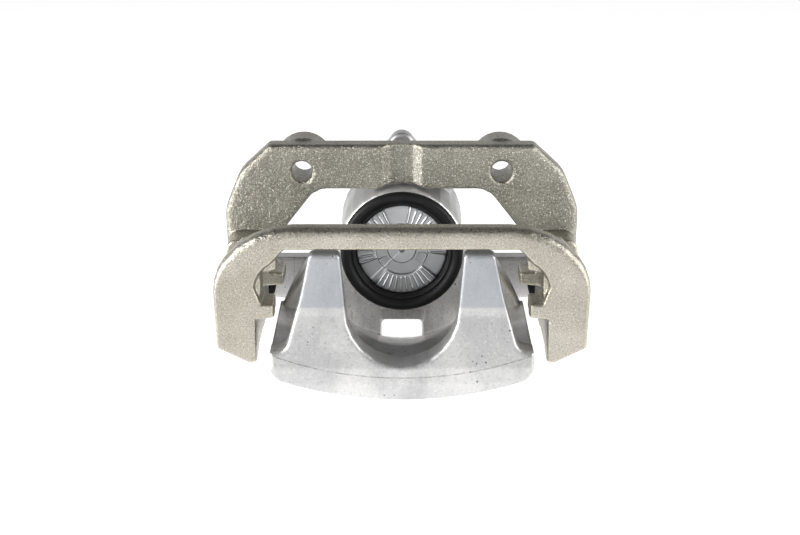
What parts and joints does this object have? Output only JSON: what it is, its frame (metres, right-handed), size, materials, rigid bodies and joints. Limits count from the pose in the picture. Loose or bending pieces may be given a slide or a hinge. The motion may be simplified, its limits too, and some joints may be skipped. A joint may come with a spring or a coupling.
{
  "type": "floating brake caliper",
  "caption": "Floating single-piston rear disc brake caliper on a cast bracket, with guide pins, folded dust boots and a screw-driven parking brake.",
  "frame": {"origin": "midway between the two mounting bosses, on the plane of their rear faces", "axes": "+X along the bracket, +Y from the wheel side to the vehicle side along the piston and guide-pin axes, +Z towards the hub"},
  "size_m": [0.1752, 0.14, 0.1061],
  "materials": {
    "zinc_plated_iron": "sand-cast iron with a pale yellowish zinc plating, grainy",
    "cast_aluminium": "blasted cast aluminium, satin",
    "piston_aluminium": "satin grey anodised aluminium",
    "zinc_steel": "clear zinc-plated steel",
    "bearing_steel": "hardened dark steel, oiled",
    "black_rubber": "matt black moulded rubber"
  },
  "bodies": {
    "bracket": {"bracket": "zinc_plated_iron", "pin_boot_left": "black_rubber", "pin_boot_right": "black_rubber"},
    "housing": {"housing": "cast_aluminium", "piston_seal": "black_rubber", "piston_boot": "black_rubber", "guide_pin_left": "zinc_steel", "guide_pin_right": "zinc_steel", "pin_bolt_left": "zinc_steel", "pin_bolt_right": "zinc_steel", "pin_bush_right": "black_rubber", "spindle_seal": "black_rubber", "thrust_bearing": "bearing_steel", "thrust_washer": "zinc_steel"},
    "piston": {"piston": "piston_aluminium"},
    "spindle": {"spindle": "zinc_steel", "spindle_circlip": "bearing_steel"},
    "nut": {"spindle_nut": "bearing_steel"},
    "bleed_screw": {"bleed_screw": "zinc_steel"},
    "bleed_cap": {"bleed_cap": "black_rubber"}
  },
  "joints": [
    {"name": "caliper_slide", "type": "slide", "parent": "bracket", "child": "housing", "axis": [0, 1, 0], "range_m": [-0.002, 0.012], "deforming": ["pin_boot_left", "pin_boot_right"]},
    {"name": "piston_stroke", "type": "slide", "parent": "housing", "child": "piston", "axis": [0, -1, 0], "range_m": [0, 0.018], "deforming": ["piston_boot"]},
    {"name": "spindle_turn", "type": "hinge", "parent": "housing", "child": "spindle", "pos_m": [0, 0.0195, -0.0385], "axis": [0, 1, 0], "range_deg": [0, 1008]},
    {"name": "nut_travel", "type": "slide", "parent": "housing", "child": "nut", "axis": [0, -1, 0], "range_m": [0, 0.0042]},
    {"name": "bleed_screw_turn", "type": "hinge", "parent": "housing", "child": "bleed_screw", "pos_m": [0, 0.0115, -0.0385], "axis": [0.6428, 0, 0.766], "range_deg": [0, 180]},
    {"name": "bleed_cap_pull", "type": "slide", "parent": "bleed_screw", "child": "bleed_cap", "axis": [0.6428, 0, 0.766], "range_m": [0, 0.012]}
  ],
  "couplings": [
    {"joint": "spindle_turn", "follows": "nut_travel", "rad_per_m": 4188.8}
  ]
}
